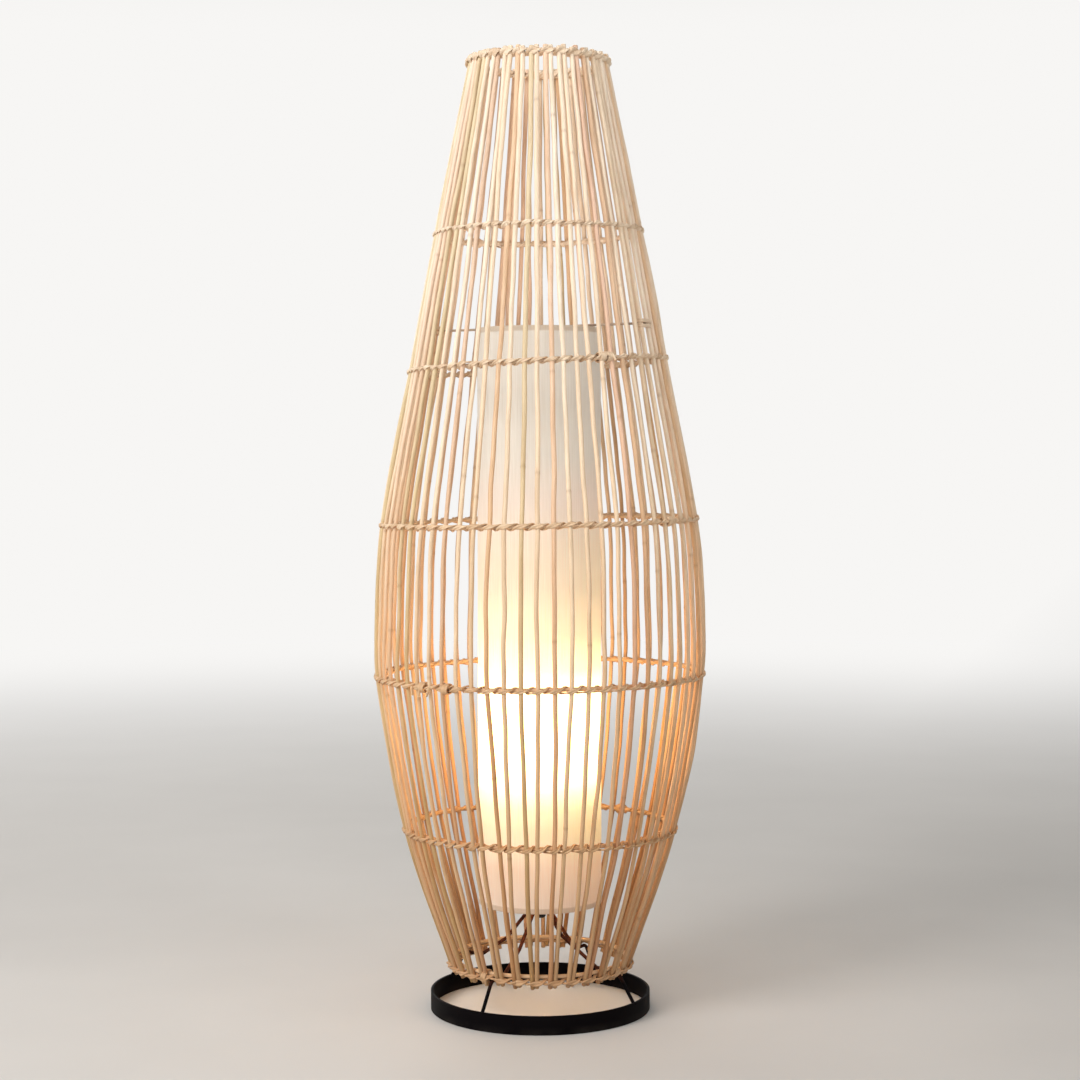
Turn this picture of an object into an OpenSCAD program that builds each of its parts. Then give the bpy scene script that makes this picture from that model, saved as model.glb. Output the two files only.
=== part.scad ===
// Rattan floor lamp. A tall bulging cage of bent rattan sticks stands on a steel hoop with four bent
// wire legs, over a tall fabric shade with a bulb inside it.
// The origin is on the floor, on the lamp's axis. +Z is up and -Y is the lamp's front.
// Azimuths are measured from the front, and are positive towards +X.

/* [Cage] */
// Height of the lamp, to the cut tips of the sticks
lamp_h = 1200; // [1190:1:1215]
// Height of the sticks' lower cut ends
stick_foot_z = 48; // [42:1:54]
// Diameter of a rattan stick
stick_d = 5.3; // [4:0.1:5.4]
// Pairs of sticks round the cage
pair_count = 32; // [16:8:32]
// Diameter of the rattan rod that each inner hoop is bent from
hoop_d = 5; // [4:0.1:6]
// Gap left between a stick and the hoop or lashing that holds it
cane_gap = 0.4; // [0.3:0.05:0.6]

/* [Base] */
// Outer radius of the base hoop
base_r = 139; // [130:1:150]
// Thickness of the base hoop's flat bar
base_t = 3; // [2:0.5:4]
// Height of the base hoop's flat bar
base_h = 23; // [20:1:30]
// Diameter of the legs' steel wire
leg_d = 4.5; // [4:0.1:5]
// Azimuth of the leg at the front right
leg_azimuth = 58.5; // [45:0.5:70]

/* [Shade] */
// Outer radius of the fabric shade
shade_r = 77.8; // [60:0.1:80]
// Height of the shade's lower edge
shade_z = 134; // [130:1:136]
// Height of the shade from edge to edge
shade_h = 725; // [600:1:726]
// Thickness of the laminated fabric
shade_t = 0.6; // [0.4:0.1:0.8]
// Diameter of the wire that the shade's rings and spider are made of
ring_wire_d = 3; // [2:0.1:3]

/* [Lamp holder] */
// Outer radius of the threaded tube that carries the lamp holder
stem_r = 5; // [4.5:0.1:5]
// Outer radius of the lamp holder's shell
holder_r = 20; // [20:0.5:24]
// Height of the lamp holder's lower end
holder_z = 205; // [190:1:220]
// Radius of the bulb's glass globe
bulb_r = 34; // [30:0.5:40]
// Radius of the bore that the cord comes in through
cord_bore_r = 3.2; // [3:0.1:3.4]

/* [Hidden] */
$fn = 96;
wire_fn = 32;
stick_sides = 8;
wire_sides = 16;
bend_steps = 6;
fit_gap = 0.3;
thread_gap = 0.05;

// Cage wall: height, radius to the sticks' centres, and angle from a pair's middle to each stick
WALL = [
    [stick_foot_z, 109, 1.42],
    [61, 114, 1.42],
    [226, 169, 2.1],
    [420, 204, 2.7],
    [500, 205, 2.81],
    [613, 197.5, 2.75],
    [813, 159.5, 2.5],
    [980, 127.5, 2.2],
    [1185, 85.5, 1.95],
    [lamp_h, 83.5, 1.95]
];
// The seven hoops from the top: height, tilt that lifts the +X side, and radius of the lashing
RINGS = [
    [1188, 0, 3],
    [978, 1, 2.2],
    [813, 3.1, 2.2],
    [617, 1.3, 2.2],
    [424, 0.5, 2.2],
    [230, 0, 2.2],
    [61, 0, 2.8]
];
SECTORS = ["front", "front_right", "right", "back_right", "back", "back_left", "left", "front_left"];

stick_r = stick_d / 2;
hoop_r = hoop_d / 2;
leg_r = leg_d / 2;
wire_r = ring_wire_d / 2;
pair_step = 360 / pair_count;
pairs_per_sector = pair_count / len(SECTORS);
first_pair = leg_azimuth + pair_step / 2;
bottom_hoop_z = RINGS[6][0];
shade_top = shade_z + shade_h;

// The legs' route in the plane of one leg, as radius and height
seat_z = bottom_hoop_z - hoop_r - fit_gap - leg_r;
LEG = [[base_r - base_t + 0.8, 19], [114, seat_z], [88, seat_z], [50, 82], [13.4, 125.5]];
leg_bend_r = 10;

// Heights along the stem
hub_z = 122;
hub_h = 7;
hub_r = 14;
stem_foot = 117;
nut_h = 3;
nut_flats = 14;
gland_z = 114;
gland_r = 7;
spider_z = shade_z + 2;
spider_t = 2;

// Heights in the lamp holder and the bulb, above the holder's lower end
insert_z = holder_z + 18.3;
insert_top = insert_z + 10.7;
shell_top = holder_z + 57;
tongue_h = 3.4;
contact_z = insert_top + 4;
screw_r = 13.35;
cap_r = 13;
globe_z = holder_z + 129;
globe_t = 0.8;
neck_r = 12.2;
shoulder_angle = -38;

// Slope at entry i of column c of the wall, from the entries on either side
function slope(i, c) =
    let (a = max(i - 1, 0), b = min(i + 1, len(WALL) - 1))
    (WALL[b][c] - WALL[a][c]) / (WALL[b][0] - WALL[a][0]);

// Column c of the wall at height z, on a smooth curve through the entries
function along(z, c, i = 0) =
    z > WALL[i + 1][0] && i < len(WALL) - 2 ? along(z, c, i + 1) :
    let (
        h = WALL[i + 1][0] - WALL[i][0],
        t = (z - WALL[i][0]) / h
    )
    (2 * pow(t, 3) - 3 * pow(t, 2) + 1) * WALL[i][c]
        + (pow(t, 3) - 2 * pow(t, 2) + t) * h * slope(i, c)
        + (3 * pow(t, 2) - 2 * pow(t, 3)) * WALL[i + 1][c]
        + (pow(t, 3) - pow(t, 2)) * h * slope(i + 1, c);

// Heights at which a stick's surface has a ring of points: its ends, each hoop, and halfway between
ring_heights = [for (i = [6:-1:0]) RINGS[i][0]];
STATIONS = concat(
    [stick_foot_z],
    [for (i = [0:12]) i % 2 == 0 ? ring_heights[i / 2] : (ring_heights[(i - 1) / 2] + ring_heights[(i + 1) / 2]) / 2],
    [lamp_h]
);

// Middle of a stick at height z: azimuth of its pair, and the side of the pair that it is on
function stick_point(z, azimuth, side) =
    let (a = azimuth + side * along(z, 2) - 90, r = along(z, 1))
    [r * cos(a), r * sin(a), z];

function unit(v) = v / norm(v);

// A solid tube swept through a list of middles. across is a direction that stays square to the route
module sweep(middles, across, r, sides) {
    last = len(middles) - 1;
    points = [
        for (i = [0:last])
            let (
                way = unit(middles[min(i + 1, last)] - middles[max(i - 1, 0)]),
                outward = unit(cross(across, way)),
                sideways = cross(way, outward)
            )
            for (k = [0:sides - 1])
                let (a = 360 * k / sides)
                middles[i] + r * (cos(a) * outward + sin(a) * sideways)
    ];
    walls = [
        for (i = [0:last - 1])
            for (k = [0:sides - 1])
                let (a = i * sides + k, b = i * sides + (k + 1) % sides)
                for (t = [[a, b, a + sides], [b, b + sides, a + sides]]) t
    ];
    foot = [for (k = [sides - 1:-1:0]) k];
    tip = [for (k = [0:sides - 1]) last * sides + k];
    polyhedron(points, concat([foot], walls, [tip]));
}

module stick(azimuth, side) {
    middles = [for (z = STATIONS) stick_point(z, azimuth, side)];
    sweep(middles, [-sin(azimuth - 90), cos(azimuth - 90), 0], stick_r, stick_sides);
}

// One eighth of the cage's sticks
module stick_group(sector) {
    color("burlywood")
        for (n = [0:pairs_per_sector - 1])
            for (side = [-1, 1])
                stick(first_pair + (sector * pairs_per_sector + n - 7) * pair_step, side);
}

// A round rod bent into a ring, on the axis at height 0
module torus(r, rod_r) {
    rotate_extrude()
        translate([r, 0])
            circle(r = rod_r, $fn = wire_fn);
}

// Tilts a ring of the cage and moves it sideways so that it stays on the sloping wall
module on_wall(ring) {
    z = ring[0];
    wall_slope = (along(z + 5, 1) - along(z - 5, 1)) / 10;
    translate([wall_slope * along(z, 1) * tan(ring[1]), 0, z])
        rotate([0, -ring[1], 0])
            children();
}

module hoop(n) {
    ring = RINGS[n - 1];
    color("wheat")
        on_wall(ring)
            torus(along(ring[0], 1) - stick_r - hoop_r - cane_gap, hoop_r);
}

module lashing(n) {
    ring = RINGS[n - 1];
    color("tan")
        on_wall(ring)
            torus(along(ring[0], 1) + stick_r + ring[2] + cane_gap, ring[2]);
}

// Turns a piece made along +X to an azimuth
module facing(azimuth) {
    rotate([0, 0, azimuth - 90])
        children();
}

// A straight wire from a to b
module rod(a, b, r) {
    way = b - a;
    translate(a)
        rotate([0, acos(way.z / norm(way)), atan2(way.y, way.x)])
            cylinder(h = norm(way), r = r, $fn = wire_fn);
}

// Signed angle by which a flat route turns at its point i
function turn_at(route, i) =
    let (a = route[i] - route[i - 1], b = route[i + 1] - route[i])
    atan2(a.x * b.y - a.y * b.x, a * b);

// The points of the round bend that replaces corner i of a flat route
function bend(route, i, bend_r) =
    let (
        turn = turn_at(route, i),
        way = unit(route[i] - route[i - 1]),
        inward = sign(turn) * [-way.y, way.x],
        middle = route[i] - way * bend_r * tan(abs(turn) / 2) + bend_r * inward,
        start = atan2(-inward.y, -inward.x)
    )
    [for (k = [0:bend_steps]) let (a = start + turn * k / bend_steps) middle + bend_r * [cos(a), sin(a)]];

// A wire in the XZ plane, straight between the points of its route and bent to bend_r at each
module bent_wire(route, r, bend_r) {
    bends = [for (i = [1:len(route) - 2]) for (p = bend(route, i, bend_r)) p];
    flat_route = concat([route[0]], bends, [route[len(route) - 1]]);
    sweep([for (p = flat_route) [p.x, 0, p.y]], [0, 1, 0], r, wire_sides);
}

// A tube or washer standing on height z
module tube(outer, inner, z, h) {
    translate([0, 0, z])
        difference() {
            cylinder(r = outer, h = h);
            translate([0, 0, -1])
                cylinder(r = inner, h = h + 2);
        }
}

// The wire across the shade's top, which the cage's sticks hold by its ends
bar_r = 1.5;
bar_z = shade_top + fit_gap + bar_r;
bar_reach = along(bar_z, 1) + stick_r;
tie_r = 1.6;

module steady_bar() {
    color("dimgray")
        facing(leg_azimuth)
            rod([-bar_reach, 0, bar_z], [bar_reach, 0, bar_z], bar_r);
}

// The lashings that hold the bar's two ends against the sticks on each side of them
module bar_ties() {
    tie_x = bar_reach + tie_r + fit_gap;
    color("tan")
        for (end = [0, 180])
            facing(leg_azimuth + end)
                rod([tie_x, -11, bar_z], [tie_x, 11, bar_z], tie_r);
}

module base_hoop() {
    color("#1c1b1b")
        tube(base_r, base_r - base_t, 0, base_h);
}

module leg(azimuth) {
    color("#1c1b1b")
        facing(azimuth)
            bent_wire(LEG, leg_r, leg_bend_r);
}

module hub_collar() {
    color("#1c1b1b")
        tube(hub_r, stem_r + thread_gap, hub_z, hub_h);
}

module stem() {
    color("silver")
        tube(stem_r, cord_bore_r + 0.3, stem_foot, holder_z + 7 - stem_foot);
}

// Two nuts clamp the hub collar on the stem and two clamp the spider
module lock_nuts() {
    heights = [hub_z - nut_h, hub_z + hub_h, spider_z - nut_h, spider_z + spider_t];
    color("silver")
        for (z = heights)
            translate([0, 0, z])
                difference() {
                    cylinder(r = nut_flats / 2 / cos(30), h = nut_h, $fn = 6);
                    translate([0, 0, -1])
                        cylinder(r = stem_r + thread_gap, h = nut_h + 2);
                }
}

// The gland is screwed on the stem's lower end, below the lowest nut
module cord_gland() {
    color("#2a2a2a")
        rotate_extrude()
            polygon([
                [cord_bore_r, gland_z],
                [5.5, gland_z],
                [gland_r, gland_z + 1.5],
                [gland_r, hub_z - nut_h - 0.5],
                [stem_r + thread_gap, hub_z - nut_h - 0.5],
                [stem_r + thread_gap, stem_foot - 0.1],
                [cord_bore_r, stem_foot - 0.1]
            ]);
}

module shade_spider() {
    ring_r = shade_r - shade_t - 0.2 - wire_r;
    arm_z = spider_z + spider_t / 2;
    color("silver") {
        tube(13, stem_r + thread_gap, spider_z, spider_t);
        for (azimuth = [0:120:240])
            facing(azimuth)
                rod([12, 0, arm_z], [ring_r - wire_r - 0.05, 0, arm_z], wire_r);
    }
}

module shade_ring(z) {
    color("silver")
        translate([0, 0, z])
            torus(shade_r - shade_t - 0.2 - wire_r, wire_r);
}

module shade_fabric() {
    color("#f3e6cf")
        tube(shade_r, shade_r - shade_t, shade_z, shade_h);
}

// The holder's cap is screwed on the stem's upper end
module holder_cap() {
    color("#e9e6df")
        rotate_extrude()
            polygon([
                [stem_r + thread_gap, holder_z],
                [8, holder_z],
                [8, holder_z + 6],
                [holder_r, holder_z + 11],
                [holder_r, holder_z + 16],
                [holder_r - 2, holder_z + 16],
                [holder_r - 2, holder_z + 12.5],
                [stem_r + 2.5, holder_z + 8],
                [stem_r + thread_gap, holder_z + 8]
            ]);
}

module holder_shell() {
    foot = holder_z + 16.2;
    color("#e9e6df")
        rotate_extrude()
            polygon([
                [holder_r - 3.5, foot],
                [holder_r, foot],
                [holder_r, shell_top],
                [screw_r + 1.2, shell_top],
                [screw_r + 1.2, shell_top - 1.8],
                [holder_r - 1.8, shell_top - 1.8],
                [holder_r - 1.8, foot + 1.8],
                [holder_r - 3.5, foot + 1.8]
            ]);
}

module holder_insert() {
    color("white")
        tube(holder_r - 3.7, 1.5, insert_z, insert_top - insert_z);
}

module holder_screw_shell() {
    foot = insert_top + 0.2;
    color("goldenrod")
        rotate_extrude()
            polygon([
                [9, foot],
                [screw_r + 0.4, foot],
                [screw_r + 0.4, shell_top - 2.5],
                [screw_r, shell_top - 2.5],
                [screw_r, foot + 0.5],
                [9, foot + 0.5]
            ]);
}

module holder_contact() {
    color("goldenrod")
        translate([0, 0, insert_top + 0.2])
            cylinder(r = 4, h = tongue_h);
}

module bulb_contact() {
    color("silver")
        translate([0, 0, contact_z])
            cylinder(r1 = 3.4, r2 = 4.5, h = 1.6);
}

module bulb_insulator() {
    color("#202020")
        translate([0, 0, contact_z + 1.7])
            cylinder(r1 = 5, r2 = 10.5, h = 3.6);
}

module bulb_cap() {
    foot = contact_z + 5.4;
    color("silver")
        rotate_extrude()
            polygon([
                [8.5, foot],
                [10.5, foot],
                [cap_r, foot + 2],
                [cap_r, shell_top + 1],
                [cap_r - 0.4, shell_top + 1],
                [cap_r - 0.4, foot + 2.4],
                [10.3, foot + 0.5],
                [8.5, foot + 0.5]
            ]);
}

// Outline of the globe, of radius r: an arc from the crown to the shoulder, a cone, and the neck
function globe_outline(r, neck, z0) = concat(
    [for (a = [90:-8:shoulder_angle]) [r * cos(a), globe_z + r * sin(a)]],
    [[neck, globe_z - r * sin(-shoulder_angle) - (r * cos(shoulder_angle) - neck) / tan(-shoulder_angle)]],
    [[neck, z0]]
);

module bulb_glass() {
    neck_foot = shell_top - 12;
    color("#fff6e0", 0.6)
        rotate_extrude()
            difference() {
                polygon(concat(globe_outline(bulb_r, neck_r, neck_foot), [[0, neck_foot]]));
                polygon(concat(
                    globe_outline(bulb_r - globe_t, neck_r - globe_t, neck_foot - 1),
                    [[0, neck_foot - 1]]
                ));
            }
}

// The glass post inside the bulb, with the two wires that hold the filament
module bulb_mount() {
    post_top = globe_z - 22;
    color("lightgray") {
        translate([0, 0, shell_top - 12])
            cylinder(r1 = 6, r2 = 2.5, h = post_top - shell_top + 12);
        for (side = [-1, 1])
            rod([side * 1.2, 0, post_top - 3], [side * 9, 0, globe_z - 1.2], 0.5);
    }
}

module bulb_filament() {
    color("orange")
        translate([0, 0, globe_z])
            rotate([0, 0, 180])
                rotate_extrude(angle = 180)
                    translate([9, 0])
                        circle(r = 0.6, $fn = wire_fn);
}

STICK_NODES = [for (s = SECTORS) str("sticks_", s)];
HOOP_NODES = [for (n = [1:7]) str("hoop_", n)];
LASHING_NODES = [for (n = [1:7]) str("lashing_", n)];
LEG_NODES = ["leg_front_right", "leg_back_right", "leg_back_left", "leg_front_left"];

for (s = [0:7])
    stick_group(s);
for (n = [1:7])
    hoop(n);
for (n = [1:7])
    lashing(n);
for (n = [0:3])
    leg(leg_azimuth + 90 * n);
steady_bar();
bar_ties();
base_hoop();
hub_collar();
stem();
lock_nuts();
cord_gland();
shade_spider();
shade_ring(shade_z + wire_r + 0.5);  // shade_bottom_ring
shade_ring(shade_top - wire_r - 0.5);  // shade_top_ring
shade_fabric();
holder_cap();
holder_shell();
holder_insert();
holder_screw_shell();
holder_contact();
bulb_contact();
bulb_insulator();
bulb_cap();
bulb_glass();
bulb_mount();
bulb_filament();
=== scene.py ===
"""Rattan floor lamp: an openwork cage of bent sticks over a lit fabric shade, on a black steel hoop.

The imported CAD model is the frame. The cage's sticks, hoops and lashings, the legs and the shade are
rebuilt here in finer detail, each in the place of its CAD node, and the other nodes get materials.
Lengths are in metres. Azimuths are in degrees from the front (-Y), positive towards +X.
"""
import math

import bpy
import numpy as np
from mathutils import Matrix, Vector


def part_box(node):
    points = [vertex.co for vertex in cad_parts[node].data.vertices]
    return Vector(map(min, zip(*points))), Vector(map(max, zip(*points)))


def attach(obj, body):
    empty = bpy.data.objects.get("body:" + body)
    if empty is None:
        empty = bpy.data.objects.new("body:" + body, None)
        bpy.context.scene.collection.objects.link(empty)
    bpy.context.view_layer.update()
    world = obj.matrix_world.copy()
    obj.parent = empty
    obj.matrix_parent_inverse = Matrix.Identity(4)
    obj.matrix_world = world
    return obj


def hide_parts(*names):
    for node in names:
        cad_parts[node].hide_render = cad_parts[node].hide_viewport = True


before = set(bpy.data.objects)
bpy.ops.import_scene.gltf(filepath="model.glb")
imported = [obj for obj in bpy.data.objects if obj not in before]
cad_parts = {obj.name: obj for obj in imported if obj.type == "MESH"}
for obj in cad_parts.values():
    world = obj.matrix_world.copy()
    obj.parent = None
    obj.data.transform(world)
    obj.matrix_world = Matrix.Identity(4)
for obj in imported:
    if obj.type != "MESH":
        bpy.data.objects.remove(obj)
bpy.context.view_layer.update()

MM = 0.001
SEED = 20260817

# ---------------------------------------------------------------- sizes shared with the CAD source
STICK_R = 2.65 * MM
HOOP_R = 2.5 * MM
CANE_GAP = 0.4 * MM
PAIRS = 32
PAIR_STEP = 360 / PAIRS
LEG_AZIMUTH = 58.5
LEG_R = 2.25 * MM
LEG_ROUTE_MM = [(136.8, 19), (114, 55.95), (88, 55.95), (50, 82), (13.4, 125.5)]
LEG_BEND_R = 10 * MM
# Cage wall: height, radius to the sticks' centres, and angle from a pair's middle to each stick.
# The thicker tops of the sticks stand 0.15 degrees further apart here than in the CAD source.
WALL = np.array([
    (48, 109, 1.42),
    (61, 114, 1.42),
    (226, 169, 2.1),
    (420, 204, 2.7),
    (500, 205, 2.81),
    (613, 197.5, 2.75),
    (813, 159.5, 2.5),
    (980, 127.5, 2.2),
    (1185, 85.5, 2.1),
    (1200, 83.5, 2.1),
]) * (MM, MM, 1)
# The hoops from the top: height, and tilt that lifts the +X side
HOOPS = [(1188, 0), (978, 1), (813, 3.1), (617, 1.3), (424, 0.5), (230, 0), (61, 0)]
TOP_HOOP, BOTTOM_HOOP = 1, len(HOOPS)
SECTORS = ["front", "front_right", "right", "back_right", "back", "back_left", "left", "front_left"]
LEG_SIDES = ["front_right", "back_right", "back_left", "front_left"]
# The front sector's first pair, counted from the front right leg
FIRST_PAIR = -7
UP = np.array([0.0, 0.0, 1.0])

# ---------------------------------------------------------------- sizes of the finer detail
# The sticks are a little thicker towards the top: height and factor
TAPER = np.array([(0.05, 1.03), (0.30, 0.98), (0.60, 1.02), (0.95, 1.13), (1.20, 1.17)])
# Heights of the sticks' cut ends, and how much they vary
STICK_FOOT_MM, STICK_TIP_MM, ENDS_VARY_MM = 50.5, 1197, 1.5
# How far a stick strays sideways at a hoop and between two hoops, and its share at the first and last hoop
STRAY_AT_HOOP, STRAY_BETWEEN, STRAY_AT_ENDS = 0.45 * MM, 0.8 * MM, 0.3
# The bottom hoop's rod lies a little higher than its CAD solid, clear of the strands that cross under it
BOTTOM_ROD_RISE = 1.4 * MM
# Peels that lie side by side in each strand of a lashing, and points from one stick to the next
PEELS = 2
STRAND_POINTS = 22
# Tied-off knots by hoop: each knot's azimuth, and the degrees away and the length of each cut tail
KNOTS = {
    2: [(-140, [])],
    3: [(28, []), (31.5, [(1, 6 * MM)])],
    4: [(52, []), (171, [])],
    5: [(-33, []), (-43, [(-4, 9 * MM), (0, 10 * MM), (4.4, 9 * MM)])],
    6: [(140, [(2, 7 * MM)])],
    7: [(-36, [(1.2, 9 * MM)])],
}


# ---------------------------------------------------------------- the cage's geometry
def wall(z, column):
    """A column of WALL at heights z, on the smooth curve that the CAD source uses."""
    z = np.atleast_1d(np.asarray(z, float))
    heights, values = WALL[:, 0], WALL[:, column]
    ahead = np.minimum(np.arange(len(WALL)) + 1, len(WALL) - 1)
    behind = np.maximum(np.arange(len(WALL)) - 1, 0)
    slopes = (values[ahead] - values[behind]) / (heights[ahead] - heights[behind])
    i = np.clip(np.searchsorted(heights, z) - 1, 0, len(WALL) - 2)
    h = heights[i + 1] - heights[i]
    t = (z - heights[i]) / h
    return (
        (2 * t**3 - 3 * t**2 + 1) * values[i]
        + (t**3 - 2 * t**2 + t) * h * slopes[i]
        + (3 * t**2 - 2 * t**3) * values[i + 1]
        + (t**3 - t**2) * h * slopes[i + 1]
    )


def radial(azimuth):
    """Unit vectors from the axis at azimuths in degrees."""
    a = np.radians(np.atleast_1d(azimuth))
    return np.stack([np.sin(a), -np.cos(a), np.zeros_like(a)], -1)


def around(azimuth):
    """Unit vectors along the way that azimuths grow."""
    a = np.radians(np.atleast_1d(azimuth))
    return np.stack([np.cos(a), np.sin(a), np.zeros_like(a)], -1)


def unit(v):
    return v / np.linalg.norm(v, axis=-1, keepdims=True)


class Ring:
    """The circle on which hoop n crosses the sticks' centres, with the wall's directions at it."""

    def __init__(self, n):
        height, tilt = HOOPS[n - 1]
        self.z0 = height * MM
        self.rise = math.tan(math.radians(tilt))

    def at(self, azimuth):
        """(middles, outward directions, upward directions) at azimuths in degrees."""
        z = np.full(len(azimuth), self.z0)
        for _ in range(3):
            z = self.z0 + wall(z, 1) * np.sin(np.radians(azimuth)) * self.rise
        step = 2 * MM
        slope = (wall(z + step, 1) - wall(z - step, 1)) / (2 * step)
        level = radial(azimuth)
        up = unit(slope[:, None] * level + UP)
        out = unit(level - slope[:, None] * UP)
        return level * wall(z, 1)[:, None] + z[:, None] * UP, out, up


class Stick:
    """One rattan stick: its own wander from the even layout, its nodes, its thickness and its tint."""

    def __init__(self, pair, side, random):
        self.azimuth = LEG_AZIMUTH + PAIR_STEP / 2 + pair * PAIR_STEP
        self.side = side
        self.thickness = random.uniform(0.95, 1.06)
        self.tint = random.uniform(0, 1)
        self.foot = (STICK_FOOT_MM + random.uniform(-ENDS_VARY_MM, ENDS_VARY_MM)) * MM
        self.tip = (STICK_TIP_MM + random.uniform(-ENDS_VARY_MM, ENDS_VARY_MM)) * MM
        held = sorted(h * MM for h, _ in HOOPS)
        last = len(held) - 1
        self.heights, self.drift, self.bow = [], [], []
        for k, z in enumerate(held):
            self.heights.append(z)
            self.drift.append(random.normal(0, STRAY_AT_HOOP) * (STRAY_AT_ENDS if k in (0, last) else 1))
            self.bow.append(0)
            if k < last:
                self.heights.append((z + held[k + 1]) / 2)
                self.drift.append(self.drift[-1] + random.normal(0, STRAY_BETWEEN))
                self.bow.append(random.normal(0, STRAY_BETWEEN))
        # slow waves: length, phase and size
        self.waves = [
            (random.uniform(0.06, 0.16), random.uniform(0, 2 * math.pi), random.uniform(0.08, 0.24) * MM)
            for _ in range(4)
        ]
        self.nodes = []
        place = random.uniform(0.05, 0.7)
        while place < 1.2:
            self.nodes.append(place)
            place += random.uniform(0.3, 0.75)

    def shift(self, z):
        """(sideways, outward) distance from the even layout, at heights z."""
        k = np.array(self.heights)
        i = np.clip(np.searchsorted(k, z) - 1, 0, len(k) - 2)
        t = np.clip((z - k[i]) / (k[i + 1] - k[i]), 0, 1)
        t = t * t * (3 - 2 * t)

        def eased(values):
            v = np.array(values)
            return v[i] * (1 - t) + v[i + 1] * t

        def wave(turn):
            return sum(size * np.sin(2 * math.pi * z / length + phase + turn)
                       for length, phase, size in self.waves)

        return eased(self.drift) + wave(0), eased(self.bow) + 0.5 * wave(1.7)

    def azimuth_at(self, z):
        """The stick's azimuths at heights z."""
        sideways, _ = self.shift(z)
        return self.azimuth + self.side * wall(z, 2) + np.degrees(sideways / wall(z, 1))

    def middles(self, z):
        """Points on the stick's centre line at heights z."""
        _, outward = self.shift(z)
        return radial(self.azimuth_at(z)) * (wall(z, 1) + outward)[:, None] + z[:, None] * UP


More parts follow.
